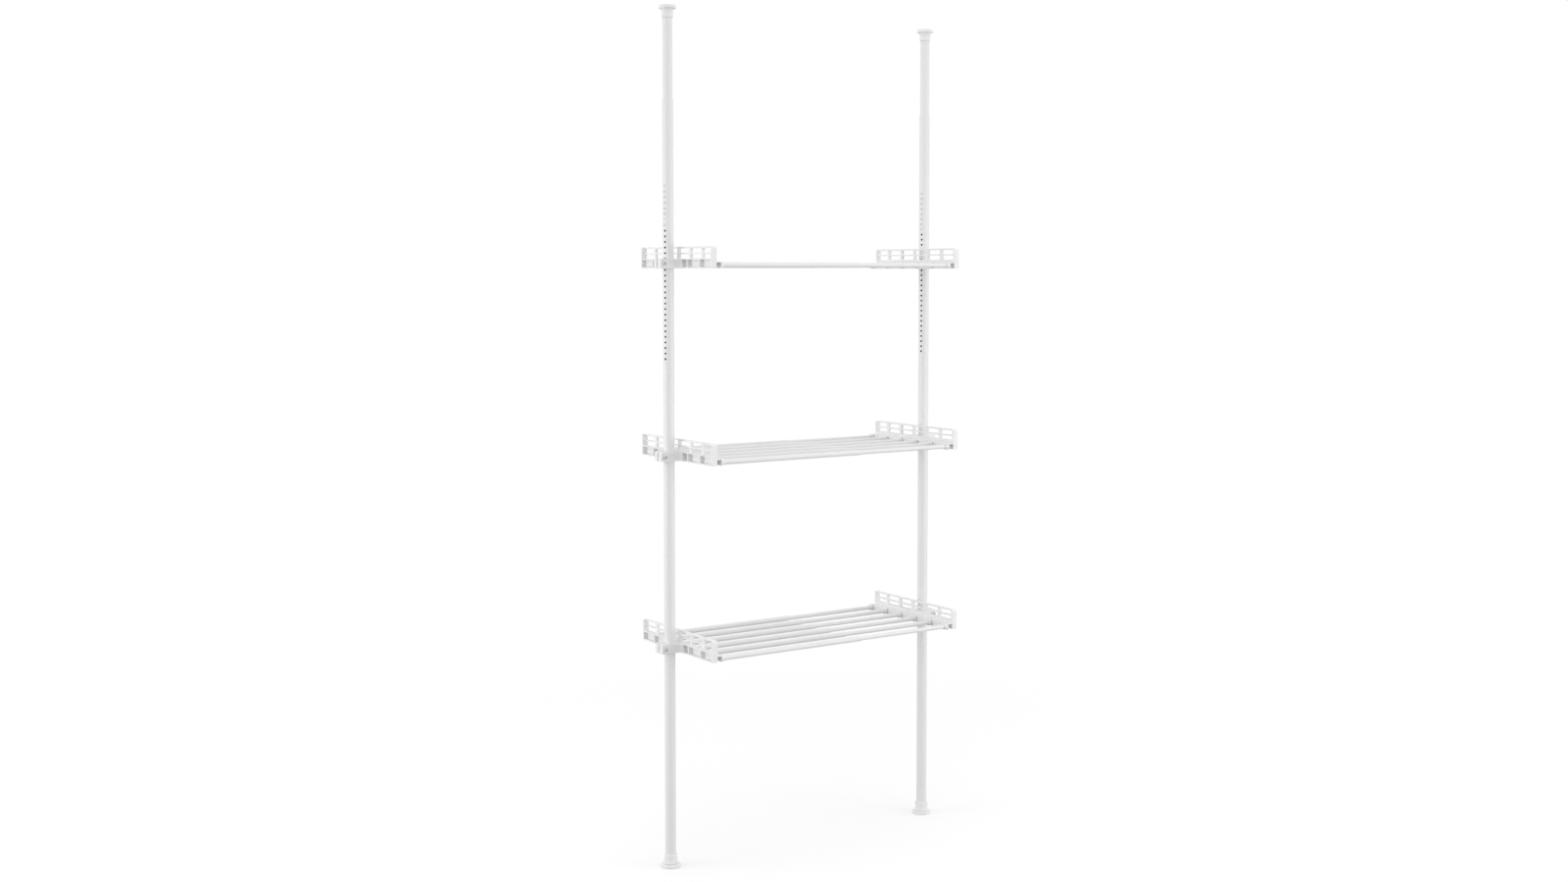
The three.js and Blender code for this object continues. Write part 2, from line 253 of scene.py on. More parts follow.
def edge_share(tree, width, most):
    """How near a point is to an edge of that width, from 0 on a flat to most on the edge itself."""
    eased = node(tree, "Bevel", samples=EDGE_SAMPLES, Radius=width * MM)
    own = node(tree, "NewGeometry")
    match = node(tree, "VectorMath", operation="DOT_PRODUCT")
    share = node(tree, "MapRange", From_Min=FLAT_MATCH, From_Max=EDGE_MATCH, To_Max=most)
    tree.links.new(eased.outputs["Normal"], match.inputs[0])
    tree.links.new(own.outputs["Normal"], match.inputs[1])
    tree.links.new(match.outputs["Value"], share.inputs["Value"])
    return share.outputs["Result"]


def relief(tree, surface, height, depth, strength):
    """A fine relief of that depth in millimetres on the surface."""
    bump = node(tree, "Bump", Strength=strength, Distance=depth * MM)
    tree.links.new(height, bump.inputs["Height"])
    tree.links.new(bump.outputs["Normal"], surface.inputs["Normal"])


PLASTIC_TONES = ((0.8, 0.8, 0.797), (0.825, 0.825, 0.823))
PLASTIC_SCUFF = (0.74, 0.74, 0.735)
PLASTIC_ROUGHNESS = (0.38, 0.54)
PLASTIC_SHEER = 0.06
PLASTIC_LIGHT_DEPTH = 2 * MM


def moulded_plastic():
    """White moulded plastic: a satin skin with a fine grain, faint flow marks and scuffed edges."""
    material, tree, surface, where = surface_of("white moulded plastic", metallic=0, specular=0.42)
    flow = clouds(tree, where, scale=14, detail=3, squeeze=(1, 0.35, 1))
    tone = mixed(tree, flow, *PLASTIC_TONES)
    scuffed = mixed(tree, edge_share(tree, width=0.9, most=0.5), tone, PLASTIC_SCUFF)
    satin = clouds(tree, where, scale=240, detail=4, span=PLASTIC_ROUGHNESS)
    tree.links.new(scuffed, surface.inputs["Base Color"])
    tree.links.new(satin, surface.inputs["Roughness"])
    relief(tree, surface, clouds(tree, where, scale=1900, detail=2), depth=0.1, strength=0.2)
    surface.inputs["Subsurface Weight"].default_value = PLASTIC_SHEER
    surface.inputs["Subsurface Radius"].default_value = (PLASTIC_LIGHT_DEPTH,) * 3
    surface.inputs["Subsurface Scale"].default_value = 1
    return material


plastic = moulded_plastic()
pad = turned([
    (0, FOOT_RECESS, 0),
    (FOOT_RADIUS - FOOT_RIM, FOOT_RECESS, STEP_ROUNDING),
    (FOOT_RADIUS - FOOT_RIM + FOOT_RECESS, 0, STEP_ROUNDING),
    (FOOT_RADIUS, 0, FOOT_HEEL_ROUNDING),
    (FOOT_RADIUS, FOOT_HEIGHT, FOOT_TOP_ROUNDING),
    (FOOT_DISH_RADIUS, FOOT_HEIGHT, SOFT_ROUNDING),
    (FOOT_DISH_RADIUS - FOOT_RECESS, FOOT_HEIGHT - FOOT_RECESS, STEP_ROUNDING),
    (0, FOOT_HEIGHT - FOOT_RECESS, 0),
], sides=BROAD_SIDES)
stem = threaded(STEM_RADIUS, THREAD_DEPTH, STEM_LEAD, FOOT_HEIGHT - FOOT_RECESS * 2, STEM_TOP)
foot_mesh = finished("foot", joined(pad, stem), plastic)
place_on_poles("foot", foot_mesh, "base", "white_plastic")

# Foot adjusters
# A white moulded cup on each foot, threaded on its stem, holds the end of the pole.
# Turned by hand it lifts the pole until the ceiling cap bears on the ceiling.

ADJUSTER_RADIUS = high_edge("right_foot_adjuster", "y")
ADJUSTER_BORE = 16.3
ADJUSTER_LOW = low_edge("right_foot_adjuster", "z")
ADJUSTER_FLOOR_THICKNESS = 5
ADJUSTER_FLOOR = ADJUSTER_LOW + ADJUSTER_FLOOR_THICKNESS
ADJUSTER_TOP = high_edge("right_foot_adjuster", "z")
ADJUSTER_HEEL = 0.9
ADJUSTER_HEEL_ROUNDING = 0.6
ADJUSTER_TOP_ROUNDING = 1.1
FINE_ROUNDING = 0.3
GAP = 0.3

adjuster = turned([
    (STEM_RADIUS + GAP, ADJUSTER_LOW, FINE_ROUNDING),
    (ADJUSTER_RADIUS - ADJUSTER_HEEL, ADJUSTER_LOW, STEP_ROUNDING),
    (ADJUSTER_RADIUS, ADJUSTER_LOW + 2 * ADJUSTER_HEEL, ADJUSTER_HEEL_ROUNDING),
    (ADJUSTER_RADIUS, ADJUSTER_TOP, ADJUSTER_TOP_ROUNDING),
    (ADJUSTER_BORE, ADJUSTER_TOP, SOFT_ROUNDING),
    (ADJUSTER_BORE, ADJUSTER_FLOOR, STEP_ROUNDING),
    (STEM_RADIUS + GAP, ADJUSTER_FLOOR, FINE_ROUNDING),
], sides=BROAD_SIDES, closed=True)
adjuster_mesh = finished("foot adjuster", adjuster, plastic)
place_on_poles("foot_adjuster", adjuster_mesh, "jack", "white_plastic")

# Lower poles
# Steel tube 32 mm across, powder coated white outside and bare inside, its mouth rolled smooth.
# A row of 6 mm holes, 16 mm apart, is punched down one line for the button of the snap clip.

POLE_RADIUS = 16
POLE_BORE = 14.8
POLE_LOW = low_edge("right_lower_pole", "z")
POLE_TOP = high_edge("right_lower_pole", "z")
POLE_ROLL = 0.9
ROLL_SHARE = 0.8
CRISP_ROUNDING = 0.2
HOLE_RADIUS = 3
HOLE_RIM = 0.25
HOLE_PITCH = 16
HOLE_COUNT = 32
TOP_HOLE_DROP = 247
LOWEST_HOLE = POLE_TOP - TOP_HOLE_DROP - HOLE_PITCH * (HOLE_COUNT - 1)
HOLE_BEARING = math.radians(203)
# The tube's wall is a net. Each hole sits in a square of it, so many cells to each side of the
# hole's centre, and the rows are long where there is no hole.
NET_COLUMNS = 48
NET_ROW = 2
HALF_SQUARE = 3
LONG_ROW = 90
# A tube's inside has the second of its mesh's materials, the bare steel.
INSIDE = 1


def ring_of(bm, radius, z):
    """A ring of points round the tube, the first one on the line of the holes."""
    angles = [HOLE_BEARING + FULL_TURN * c / NET_COLUMNS for c in range(NET_COLUMNS)]
    return [bm.verts.new((radius * math.cos(a), radius * math.sin(a), z)) for a in angles]


def hole_point(tube_radius, hole_radius, height, share):
    """A point on the rim of a round hole in the tube's wall, by its share of the way round."""
    turn = FULL_TURN * share - FULL_TURN / 8
    angle = HOLE_BEARING + math.asin(hole_radius * math.cos(turn) / tube_radius)
    z = height + hole_radius * math.sin(turn)
    return (tube_radius * math.cos(angle), tube_radius * math.sin(angle), z)


def strip_between(bm, first, second):
    """Faces between two closed rows of points."""
    count = len(first)
    for k in range(count):
        after = (k + 1) % count
        bm.faces.new([first[k], first[after], second[after], second[k]])


def drilled_wall(bm, radius, hole_radius, rows, holes):
    """One wall of the tube as a net. Round each hole a square of the net is drawn in to its rim."""
    grid = [ring_of(bm, radius, z) for z in rows]
    n = HALF_SQUARE
    square = [(n, k) for k in range(-n, n)] + [(-k, n) for k in range(-n, n)]
    square += [(-c, -k) for c, k in square]
    rims = []
    punched = set()
    for height in holes:
        centre = min(range(len(rows)), key=lambda r: abs(rows[r] - height))
        rim = [grid[centre + k][c % NET_COLUMNS] for c, k in square]
        for i, vert in enumerate(rim):
            vert.co = hole_point(radius, hole_radius, height, i / len(rim))
        rims.append(rim)
        punched |= {(centre + k, c % NET_COLUMNS) for k in range(-n, n) for c in range(-n, n)}
    for r in range(len(rows) - 1):
        for c in range(NET_COLUMNS):
            if (r, c) not in punched:
                after = (c + 1) % NET_COLUMNS
                bm.faces.new([grid[r][c], grid[r][after], grid[r + 1][after], grid[r + 1][c]])
    return grid, rims


def drilled_tube(outer, inner, low, high, holes, roll):
    """A thin tube about Z with round holes on one line and rolled ends."""
    reach = NET_ROW * (HALF_SQUARE + 1)
    start = min(holes) - reach
    end = max(holes) + reach
    spans = ((low + roll, start, LONG_ROW), (start, end, NET_ROW), (end, high - roll, LONG_ROW))
    rows = []
    for a, b, step in spans:
        count = max(1, round((b - a) / step))
        rows += [a + (b - a) * k / count for k in range(count)]
    rows.append(high - roll)

    bm = bmesh.new()
    inside, inner_rims = drilled_wall(bm, inner, HOLE_RADIUS, rows, holes)
    for face in bm.faces:
        face.material_index = INSIDE
    outside, outer_rims = drilled_wall(bm, outer, HOLE_RADIUS + HOLE_RIM, rows, holes)
    lip = outer - HOLE_RIM
    for outer_rim, inner_rim, height in zip(outer_rims, inner_rims, holes):
        count = len(outer_rim)
        lips = [bm.verts.new(hole_point(lip, HOLE_RADIUS, height, i / count)) for i in range(count)]
        strip_between(bm, outer_rim, lips)
        strip_between(bm, lips, inner_rim)
    for z, back, out_row, in_row in (
        (low, roll, outside[0], inside[0]),
        (high, -roll, outside[-1], inside[-1]),
    ):
        corners = [
            (outer, z + back, 0),
            (outer, z, roll * ROLL_SHARE),
            (inner, z, CRISP_ROUNDING),
            (inner, z + back, 0),
        ]
        previous = out_row
        for radius, height in rounded_line(corners)[1:-1]:
            ring = ring_of(bm, radius, height)
            strip_between(bm, previous, ring)
            previous = ring
        strip_between(bm, previous, in_row)
    bmesh.ops.recalc_face_normals(bm, faces=bm.faces)
    return bm


COAT_TONES = ((0.76, 0.76, 0.76), (0.78, 0.78, 0.78))
COAT_WORN = (0.66, 0.66, 0.665)
COAT_ROUGHNESS = (0.3, 0.42)


def powder_coat():
    """White powder coat on steel: satin, with the faint orange peel of a baked coat, thin on edges."""
    material, tree, surface, where = surface_of("white powder coat", metallic=0, specular=0.5)
    tone = mixed(tree, clouds(tree, where, scale=6, detail=3, squeeze=(1, 1, 0.3)), *COAT_TONES)
    worn = mixed(tree, edge_share(tree, width=0.6, most=0.4), tone, COAT_WORN)
    satin = clouds(tree, where, scale=160, detail=3, span=COAT_ROUGHNESS, squeeze=(1, 1, 0.25))
    tree.links.new(worn, surface.inputs["Base Color"])
    tree.links.new(satin, surface.inputs["Roughness"])
    relief(tree, surface, clouds(tree, where, scale=620, detail=2), depth=0.12, strength=0.15)
    return material


BARE_TONES = ((0.055, 0.053, 0.05), (0.12, 0.117, 0.112))
BARE_ROUGHNESS = (0.4, 0.65)


def bare_steel():
    """The bare inside of a tube: dark rolled steel with streaks along its length."""
    material, tree, surface, where = surface_of("bare tube steel", metallic=0.85, specular=0.5)
    streaks = clouds(tree, where, scale=90, detail=4, squeeze=(1, 1, 0.04))
    dull = clouds(tree, where, scale=60, detail=3, span=BARE_ROUGHNESS)
    tree.links.new(mixed(tree, streaks, *BARE_TONES), surface.inputs["Base Color"])
    tree.links.new(dull, surface.inputs["Roughness"])
    relief(tree, surface, streaks, depth=0.1, strength=0.2)
    return material


coat = powder_coat()
bare = bare_steel()
height_holes = [LOWEST_HOLE + HOLE_PITCH * k for k in range(HOLE_COUNT)]
lower_pole = drilled_tube(POLE_RADIUS, POLE_BORE, POLE_LOW, POLE_TOP, height_holes, POLE_ROLL)
lower_mesh = finished("lower pole", lower_pole, coat, bare)
place_on_poles("lower_pole", lower_mesh, "pole", "painted_steel")

# Upper poles
# The thinner steel tube that slides out of the lower one, in the same white powder coat.
# Near its lower end it has one hole, which the button of the snap clip fills.

UPPER_RADIUS = high_edge("right_upper_pole", "y")
UPPER_BORE = 13.1
UPPER_LOW = low_edge("right_upper_pole", "z")
UPPER_TOP = high_edge("right_upper_pole", "z")
UPPER_ROLL = 0.7
LOCK_RISE = 23
LOCK_HEIGHT = UPPER_LOW + LOCK_RISE

upper_pole = drilled_tube(UPPER_RADIUS, UPPER_BORE, UPPER_LOW, UPPER_TOP, [LOCK_HEIGHT], UPPER_ROLL)
upper_mesh = finished("upper pole", upper_pole, coat, bare)
place_on_poles("upper_pole", upper_mesh, "upper", "painted_steel")

# Snap clips
# A spring strip of zinc-plated steel, folded to a U inside each upper pole, with a domed button
# riveted on one arm. The button passes the pole's hole and locks in one of the height holes.

CLIP_THICKNESS = 0.8
CLIP_WIDTH = 6
CLIP_FRONT = 10.5
CLIP_BACK = -12.3
CLIP_RISE = 8
CLIP_DROP = -19
BEND_STEPS = 24
STRIP_ROUNDING = 0.15
STRIP_STEPS = 2
STRIP_SHARP_ANGLE = 0.8
BUTTON_RADIUS = 2.7
RIVET_SHARE = 1.5
BUTTON_BACK = CLIP_FRONT - CLIP_THICKNESS * RIVET_SHARE
BUTTON_END = 14.2
BUTTON_DOME = 1.2
PIN_SIDES = 32


def rotated(bm, angle, axis):
    """The mesh turned about an axis through the origin."""
    bmesh.ops.rotate(bm, verts=bm.verts, matrix=Matrix.Rotation(angle, 3, axis))
    return bm


def spring_strip():
    """The folded strip: a line down one arm, round the bend and up the other, with its thickness."""
    half = (CLIP_FRONT - CLIP_BACK) / 2
    middle = (CLIP_FRONT + CLIP_BACK) / 2
    bend = CLIP_DROP + half
    bm = bmesh.new()
    rows = []

    def row(x, z, across, along):
        """Four points across the strip, its thickness laid along a direction."""
        ends = ((x, z), (x - CLIP_THICKNESS * across, z - CLIP_THICKNESS * along))
        near = [bm.verts.new((a, -CLIP_WIDTH / 2, b)) for a, b in ends]
        far = [bm.verts.new((a, CLIP_WIDTH / 2, b)) for a, b in reversed(ends)]
        rows.append(near + far)

    row(CLIP_FRONT, CLIP_RISE, 1, 0)
    for k in range(BEND_STEPS + 1):
        angle = -FULL_TURN / 2 * k / BEND_STEPS
        across, along = math.cos(angle), math.sin(angle)
        row(middle + half * across, bend + half * along, across, along)
    row(CLIP_BACK, CLIP_RISE, -1, 0)
    for a, b in zip(rows, rows[1:]):
        strip_between(bm, a, b)
    bm.faces.new(rows[0])
    bm.faces.new(rows[-1])
    bmesh.ops.recalc_face_normals(bm, faces=bm.faces)
    sharp = [edge for edge in bm.edges if edge.calc_face_angle(0) > STRIP_SHARP_ANGLE]
    bmesh.ops.bevel(bm, geom=sharp, offset=STRIP_ROUNDING, segments=STRIP_STEPS, affect="EDGES",
                    clamp_overlap=True)
    return bm


ZINC_TONES = ((0.5, 0.51, 0.525), (0.66, 0.67, 0.68))
ZINC_ROUGHNESS = (0.22, 0.4)


def zinc_plate():
    """Zinc plate on steel: bright grey with a faint crystal mottle and fine drawn lines."""
    material, tree, surface, where = surface_of("zinc plate", metallic=1, specular=0.5)
    mottle = mixed(tree, clouds(tree, where, scale=900, detail=4), *ZINC_TONES)
    drawn = clouds(tree, where, scale=420, detail=4, span=ZINC_ROUGHNESS)
    tree.links.new(mottle, surface.inputs["Base Color"])
    tree.links.new(drawn, surface.inputs["Roughness"])
    relief(tree, surface, clouds(tree, where, scale=1500, detail=3), depth=0.08, strength=0.25)
    return material


zinc = zinc_plate()
button = turned([
    (0, BUTTON_BACK, 0),
    (BUTTON_RADIUS, BUTTON_BACK, CRISP_ROUNDING),
    (BUTTON_RADIUS, BUTTON_END, BUTTON_DOME),
    (0, BUTTON_END, 0),
], sides=PIN_SIDES)
clip = rotated(joined(spring_strip(), rotated(button, FULL_TURN / 4, "Y")), HOLE_BEARING, "Z")
clip_mesh = finished("snap clip", clip, zinc)
place_on_poles("snap_clip", clip_mesh, "clip", "zinc_steel", LOCK_HEIGHT)

# Ceiling caps
# A flanged cup of white moulded plastic is pressed over the end of each upper pole.
# Its broad top bears on the ceiling, with a raised rim round a shallow dish.

CEILING = high_edge("right_ceiling_cap", "z")
CAP_LOW = low_edge("right_ceiling_cap", "z")
CAP_BORE = UPPER_RADIUS + GAP
CAP_ROOF = UPPER_TOP + GAP
CAP_COLLAR = 16.5
CAP_TAPER = 0.6
CAP_FLANGE_RADIUS = high_edge("right_ceiling_cap", "y")
CAP_FLANGE_HEIGHT = 10
CAP_FLANGE_LOW = CEILING - CAP_FLANGE_HEIGHT
CAP_FLANGE_SLOPE = 2.4
CAP_DISH = 0.6
CAP_RIM = 4
CAP_MOUTH_ROUNDING = 0.7
CAP_NECK_ROUNDING = 0.9
CAP_SLOPE_ROUNDING = 1.6
CAP_SHOULDER_ROUNDING = 0.8
CAP_RIM_ROUNDING = 1.5

cap = turned([
    (0, CAP_ROOF, 0),
    (CAP_BORE, CAP_ROOF, FINE_ROUNDING),
    (CAP_BORE, CAP_LOW, STEP_ROUNDING),
    (CAP_COLLAR, CAP_LOW, CAP_MOUTH_ROUNDING),
    (CAP_COLLAR + CAP_TAPER, CAP_FLANGE_LOW, CAP_NECK_ROUNDING),
    (CAP_FLANGE_RADIUS - CAP_TAPER, CAP_FLANGE_LOW, CAP_SLOPE_ROUNDING),
    (CAP_FLANGE_RADIUS, CAP_FLANGE_LOW + CAP_FLANGE_SLOPE, CAP_SHOULDER_ROUNDING),
    (CAP_FLANGE_RADIUS, CEILING, CAP_RIM_ROUNDING),
    (CAP_FLANGE_RADIUS - CAP_RIM, CEILING, FINE_ROUNDING),
    (CAP_FLANGE_RADIUS - CAP_RIM - CAP_DISH, CEILING - CAP_DISH, FINE_ROUNDING),
    (0, CEILING - CAP_DISH, 0),
], sides=BROAD_SIDES)
cap_mesh = finished("ceiling cap", cap, plastic)
place_on_poles("ceiling_cap", cap_mesh, "upper", "white_plastic")

# Shelf end frames
# Each shelf end is one white moulding: a tray stood on its side, with two rows of fence openings
# over a pocketed band, a ribbed rail with a collar for each tube on the inner side, and on the
# outer side a split ring that a bolt draws tight on the pole. Right ends mirror the left ones.

SHELVES = ("bottom_shelf", "middle_shelf", "top_shelf")
SHELF_HEIGHTS = {shelf: low_edge(f"{shelf}_left_frame", "z") for shelf in SHELVES}
HALF_DEPTH = high_edge("top_shelf_left_frame", "y")
PANEL_OUTER = 23
FENCE_OUTER = 32
POCKET_FLOOR = 35
PANEL_INNER = 40
PANEL_HEIGHT = high_edge("top_shelf_left_frame", "z") - SHELF_HEIGHTS["top_shelf"]
PANEL_CORNER = 8
CORNER_SHARES = (0.25, 0.5, 0.7, 0.84, 0.94)
END_WALL = 6
BAND_HEIGHT = 27.5
BAND_EDGE = 3
COLUMNS = 6
POST = 10
POCKET_RIB = 4
TOP_BAR = 5
MIDDLE_BAR = 4
# An edge is rounded where its two faces turn by more than its sharp angle, in radians. Faces that
# turn by less than the flat angle are one face.
OPENING_ROUNDING = 2.2
OPENING_STEPS = 4
OPENING_SHARP_ANGLE = 0.5
EDGE_ROUNDING = 0.5
EDGE_STEPS = 2
EDGE_SHARP_ANGLE = 0.6
FLAT_ANGLE = math.radians(1)
ROUND_PROFILE = 0.5
RAIL_START = 54
RAIL_END = 58
RAIL_TOP = 19
RAIL_LEDGE = 3
RAIL_RIB = 3
TUBE_COUNT = 6
TUBE_WALL = 1
FRONT_TUBES = {"left": "top_shelf_outer_tube_1", "right": "top_shelf_inner_tube_1"}
TUBE_RADII = {side: (high_edge(tube, "z") - low_edge(tube, "z")) / 2
              for side, tube in FRONT_TUBES.items()}
COLLAR_RADIUS = 9.5
COLLAR_LAP = 1
COLLAR_END = 67
SOCKET_FLOOR = 56
SPIGOT_END = high_edge("top_shelf_left_frame", "x") + POLE_REACH
SPIGOT_ROUNDING = 0.6
TUBE_AXIS = COLLAR_RADIUS
TUBE_REACH = HALF_DEPTH - COLLAR_RADIUS
TUBE_PITCH = 2 * TUBE_REACH / (TUBE_COUNT - 1)
CLAMP_BORE = 16.3
CLAMP_BORE_STEPS = 64
CLAMP_HALF = 20.8
CLAMP_FLARE = 17
FLARE_STEPS = 16
CLAMP_ROUNDING = 0.55
CLAMP_ROUNDING_STEPS = 3
EAR_END = low_edge("top_shelf_left_frame", "x") + POLE_REACH
EAR_CORNER = 4
EAR_STEPS = 8
SLOT_HALF = 2.5
SLOT_ROUNDING = 0.6
SLOT_STEPS = 4
BOLT_X = -27
BOLT_Z = BAND_HEIGHT / 2
SHANK_RADIUS = 3
SEAT_RADIUS = 6
SEAT_RISE = 3
SEAT_FRONT = CLAMP_HALF + SEAT_RISE
SEAT_ROUNDING = 0.7
NUT_RADIUS = 5.5
NUT_DEPTH = 5.5
ROUND_SIDES = 48
HEXAGON = 6
OVERRUN = 2
HAIR = 0.1


def column_spans():
    """Where each column of fence openings starts and ends along the depth."""
    width = (2 * (HALF_DEPTH - END_WALL) - (COLUMNS - 1) * POST) / COLUMNS
    starts = [END_WALL - HALF_DEPTH + i * (width + POST) for i in range(COLUMNS)]
    return [(start, start + width) for start in starts]


def pocket_spans():
    """Where each pocket of the band starts and ends: wider than the openings, with a rib between."""
    lap = (POST - POCKET_RIB) / 2
    spans = column_spans()
    last = COLUMNS - 1
    return [(a - lap * (i > 0), b + lap * (i < last)) for i, (a, b) in enumerate(spans)]


def opening_rows():
    """Where the two rows of fence openings start and end along the height."""
    row = (PANEL_HEIGHT - BAND_HEIGHT - TOP_BAR - MIDDLE_BAR) / 2
    return [(BAND_HEIGHT, BAND_HEIGHT + row), (PANEL_HEIGHT - TOP_BAR - row, PANEL_HEIGHT - TOP_BAR)]


def rib_places():
    """Where the rail's ribs stand along the depth: midway between the tubes."""
    return [-TUBE_REACH + (i + 1 / 2) * TUBE_PITCH for i in range(TUBE_COUNT - 1)]


def within(value, spans):
    """Whether a place lies in one of the spans."""
    return any(a < value < b for a, b in spans)


def is_moulded(x, y, z):
    """Whether the tray or the rail has plastic at this place."""
    if x > PANEL_INNER:
        ribs = [(rib - RAIL_RIB / 2, rib + RAIL_RIB / 2) for rib in rib_places()]
        return z < RAIL_TOP and (x > RAIL_START or z > RAIL_TOP - RAIL_LEDGE or within(y, ribs))
    if z > BAND_HEIGHT and abs(y) < HALF_DEPTH - END_WALL:
        return x > FENCE_OUTER and not (within(y, column_spans()) and within(z, opening_rows()))
    in_pocket = BAND_EDGE < z < BAND_HEIGHT - BAND_EDGE and within(y, pocket_spans())
    return x > POCKET_FLOOR or not in_pocket


def cut_lines():
    """The places along each axis where the tray or the rail starts, ends or steps."""
    xs = {PANEL_OUTER, FENCE_OUTER, POCKET_FLOOR, PANEL_INNER, RAIL_START, RAIL_END}
    zs = {0, BAND_EDGE, RAIL_TOP - RAIL_LEDGE, RAIL_TOP, BAND_HEIGHT - BAND_EDGE, PANEL_HEIGHT}
    for span in opening_rows():
        zs.update(span)
    ys = {-HALF_DEPTH, HALF_DEPTH, END_WALL - HALF_DEPTH, HALF_DEPTH - END_WALL}
    for share in (0, *CORNER_SHARES):
        reach = HALF_DEPTH - PANEL_CORNER + PANEL_CORNER * share
        ys.update((-reach, reach))
    for span in column_spans() + pocket_spans():
        ys.update(span)
    for rib in rib_places():
        ys.update((rib - RAIL_RIB / 2, rib + RAIL_RIB / 2))
    return [sorted({round(value, 3) for value in values}) for values in (xs, ys, zs)]


def tray_and_rail():
    """Tray and rail as one closed skin between the cut lines, with the tray's upper corners round."""
    lines = cut_lines()
    bm = bmesh.new()
    points = {}

    def point(index):
        """The skin's point where three cut lines meet, drawn in under the corner's arc."""
        if index not in points:
            x, y, z = (lines[axis][index[axis]] for axis in range(3))
            past = max(0, abs(y) - (HALF_DEPTH - PANEL_CORNER))
            highest = PANEL_HEIGHT - PANEL_CORNER + math.sqrt(PANEL_CORNER**2 - past**2)
            points[index] = bm.verts.new((x, y, min(z, highest)))
        return points[index]

    def filled(cell):
        """Whether a cell between the cut lines is plastic."""
        if any(not 0 <= cell[axis] < len(lines[axis]) - 1 for axis in range(3)):
            return False
        spans = [(line[at], line[at + 1]) for line, at in zip(lines, cell)]
        return is_moulded(*((low + high) / 2 for low, high in spans))

    counts = [len(line) - 1 for line in lines]
    cells = [(i, j, k) for i in range(counts[0]) for j in range(counts[1]) for k in range(counts[2])]
    solid = {cell for cell in cells if filled(cell)}
    for cell in sorted(solid):
        for axis in range(3):
            across, up = [other for other in range(3) if other != axis]
            for end in (0, 1):
                beside = list(cell)
                beside[axis] += 2 * end - 1
                if tuple(beside) in solid:
                    continue
                quad = []
                for u, v in ((0, 0), (1, 0), (1, 1), (0, 1)):
                    index = list(cell)
                    index[axis] += end
                    index[across] += u
                    index[up] += v
                    quad.append(point(tuple(index)))
                bm.faces.new(quad)
    bmesh.ops.remove_doubles(bm, verts=bm.verts, dist=HAIR / 5)
    bmesh.ops.dissolve_degenerate(bm, edges=bm.edges, dist=HAIR / 10)
    bmesh.ops.dissolve_limit(bm, angle_limit=FLAT_ANGLE, verts=bm.verts, edges=bm.edges)
    bmesh.ops.recalc_face_normals(bm, faces=bm.faces)
    return bm


def round_edges(bm, edges, width, segments, limited=True):
    """Those edges rounded off, and the points that this brings together made one.

    The limit narrows the rounding of all the edges to what the tightest place takes. Without it
    each edge gets its full width, and the points that meet in tight places are merged.
    """
    bmesh.ops.bevel(bm, geom=edges, offset=width, segments=segments, affect="EDGES",
                    profile=ROUND_PROFILE, clamp_overlap=limited)
    bmesh.ops.remove_doubles(bm, verts=bm.verts, dist=width / 10)


def is_opening_corner(edge):
    """Whether an edge is the corner of a fence opening."""
    a, b = (vert.co for vert in edge.verts)
    through = (a - b).yz.length <= HAIR / 2 and min(a.x, b.x) >= FENCE_OUTER - HAIR
    if not through or edge.calc_face_angle(0) < OPENING_SHARP_ANGLE:
        return False
    at_side = any(abs(a.y - y) < HAIR / 2 for span in column_spans() for y in span)
    return at_side and any(abs(a.z - z) < HAIR / 2 for span in opening_rows() for z in span)


def panel():
    """The tray with its rail, its openings' corners rounded and all its edges eased."""
    bm = tray_and_rail()
    corners = [edge for edge in bm.edges if is_opening_corner(edge)]
    round_edges(bm, corners, OPENING_ROUNDING, OPENING_STEPS)
    closed = [edge for edge in bm.edges if edge.is_manifold]
    sharp = [edge for edge in closed if edge.calc_face_angle(0) > EDGE_SHARP_ANGLE]
    round_edges(bm, sharp, EDGE_ROUNDING, EDGE_STEPS, limited=False)
    bmesh.ops.recalc_face_normals(bm, faces=bm.faces)
    return bm


def arc(cx, cy, radius, start, end, count):
    """Points round a centre from one angle to another."""
    angles = [start + (end - start) * k / count for k in range(count + 1)]
    return [(cx + radius * math.cos(a), cy + radius * math.sin(a)) for a in angles]


def clamp_outline():
    """The split ring in plan: slot, two ears with round corners, the flares, the band and the bore."""
    west = FULL_TURN / 2
    mouth = math.asin(SLOT_HALF / CLAMP_BORE)
    half = arc(EAR_END + SLOT_ROUNDING, SLOT_HALF + SLOT_ROUNDING, SLOT_ROUNDING,
               west + FULL_TURN / 4, west, SLOT_STEPS)
    half += arc(EAR_END + EAR_CORNER, CLAMP_HALF - EAR_CORNER, EAR_CORNER,
                west, west - FULL_TURN / 4, EAR_STEPS)
    for k in range(FLARE_STEPS + 1):
        t = k / FLARE_STEPS
        half.append((PANEL_OUTER - CLAMP_FLARE * (1 - t) ** 2, CLAMP_HALF + CLAMP_FLARE * t * t))
    half.append(((POCKET_FLOOR + PANEL_INNER) / 2, CLAMP_HALF + CLAMP_FLARE))
    mirrored = [(x, -y) for x, y in reversed(half)]
    bore = arc(0, 0, CLAMP_BORE, west + mouth, west + FULL_TURN - mouth, CLAMP_BORE_STEPS)
    return half + mirrored + bore


